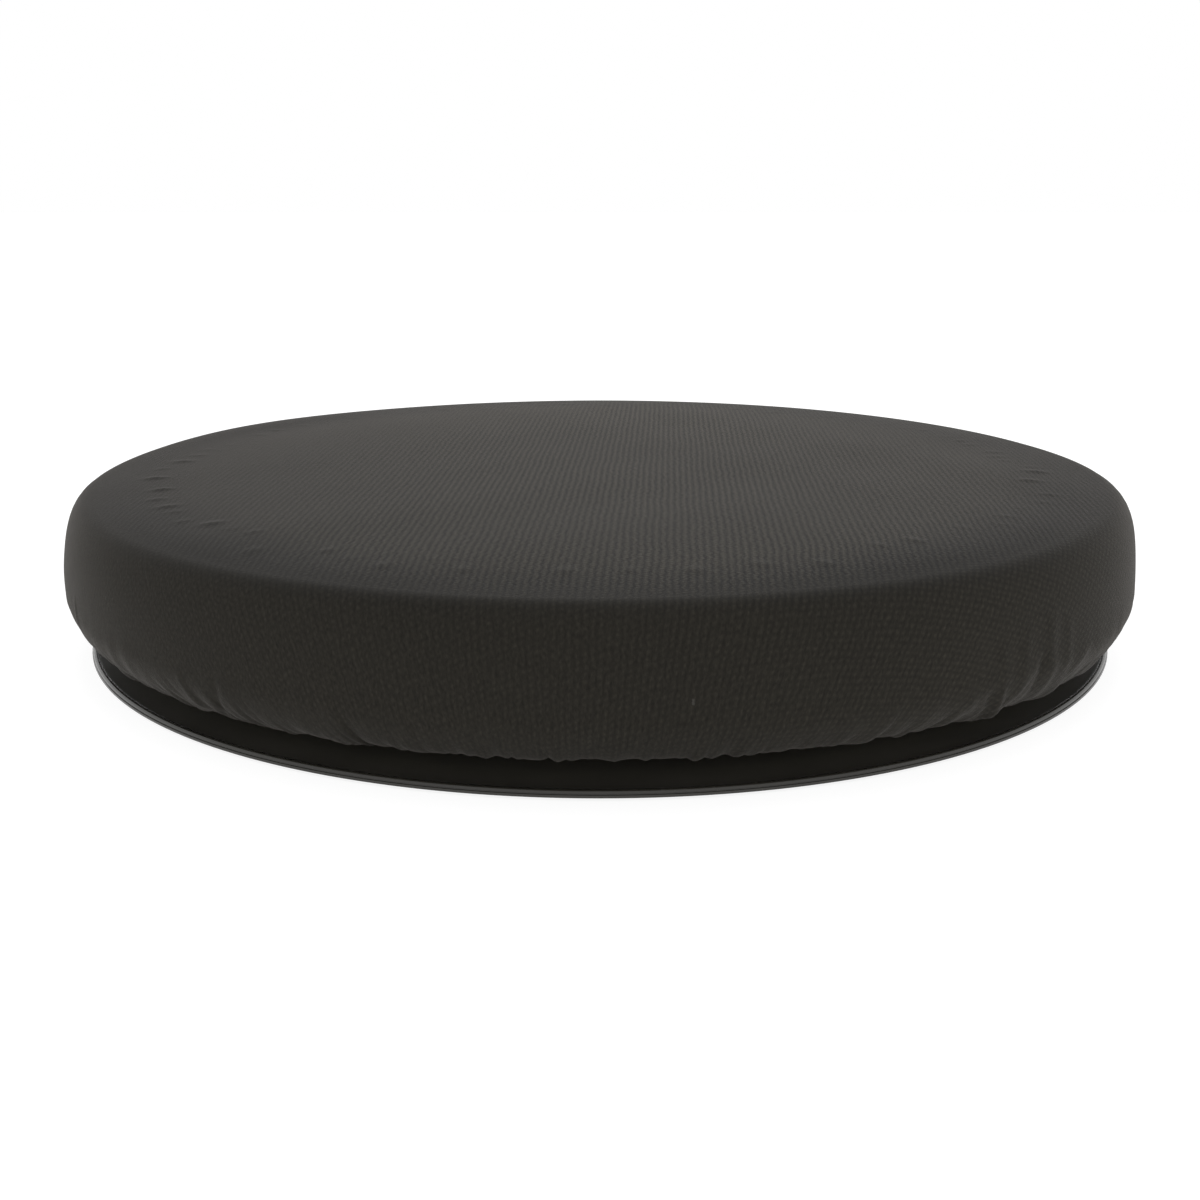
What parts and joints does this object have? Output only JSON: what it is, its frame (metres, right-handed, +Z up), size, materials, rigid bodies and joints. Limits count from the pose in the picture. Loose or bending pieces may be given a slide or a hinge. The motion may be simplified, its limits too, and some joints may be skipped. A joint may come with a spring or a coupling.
{
  "type": "swivel seat cushion",
  "caption": "Round padded seat cushion in a stretch knit cover that turns freely on a thin plastic base with a ball race and anti-slip rings underneath.",
  "frame": {"origin": "centre of the underside, on the surface that the cushion lies on", "axes": "+Z up along the swivel axis; the cushion is round, so +X (right) and +Y (away from the viewer) are as in the reference view"},
  "size_m": [0.3936, 0.3936, 0.0589],
  "materials": {
    "cover_knit": "matte",
    "foam": "matte",
    "elastic": "matte",
    "base_plastic": "satin",
    "swivel_plastic": "satin",
    "anti_slip_rubber": "matte",
    "race_steel": "satin",
    "ball_steel": "polished",
    "cage_acetal": "satin",
    "bush_acetal": "satin",
    "pivot_steel": "satin"
  },
  "bodies": {
    "base": {"base_plate": "base_plastic", "anti_slip_ring": "anti_slip_rubber", "centre_anti_slip_ring": "anti_slip_rubber", "lower_race": "race_steel", "pivot_bolt": "pivot_steel", "pivot_nut": "pivot_steel", "retaining_washer": "pivot_steel"},
    "seat": {"swivel_plate": "swivel_plastic", "upper_race": "race_steel", "hub_bush": "bush_acetal", "foam_pad": "foam", "seat_cover": "cover_knit", "hem_elastic": "elastic"},
    "cage": {"ball_cage": "cage_acetal", "ball_01": "ball_steel", "ball_02": "ball_steel", "ball_03": "ball_steel", "ball_04": "ball_steel", "ball_05": "ball_steel", "ball_06": "ball_steel", "ball_07": "ball_steel", "ball_08": "ball_steel", "ball_09": "ball_steel", "ball_10": "ball_steel", "ball_11": "ball_steel", "ball_12": "ball_steel", "ball_13": "ball_steel", "ball_14": "ball_steel", "ball_15": "ball_steel", "ball_16": "ball_steel"}
  },
  "joints": [
    {"name": "seat_swivel", "type": "hinge", "parent": "base", "child": "seat", "pos_m": [0, 0, 0.0074], "axis": [0, 0, 1], "continuous": true},
    {"name": "cage_orbit", "type": "hinge", "parent": "base", "child": "cage", "pos_m": [0, 0, 0.0074], "axis": [0, 0, 1], "continuous": true}
  ],
  "couplings": [
    {"joint": "cage_orbit", "follows": "seat_swivel", "ratio": 0.5}
  ]
}
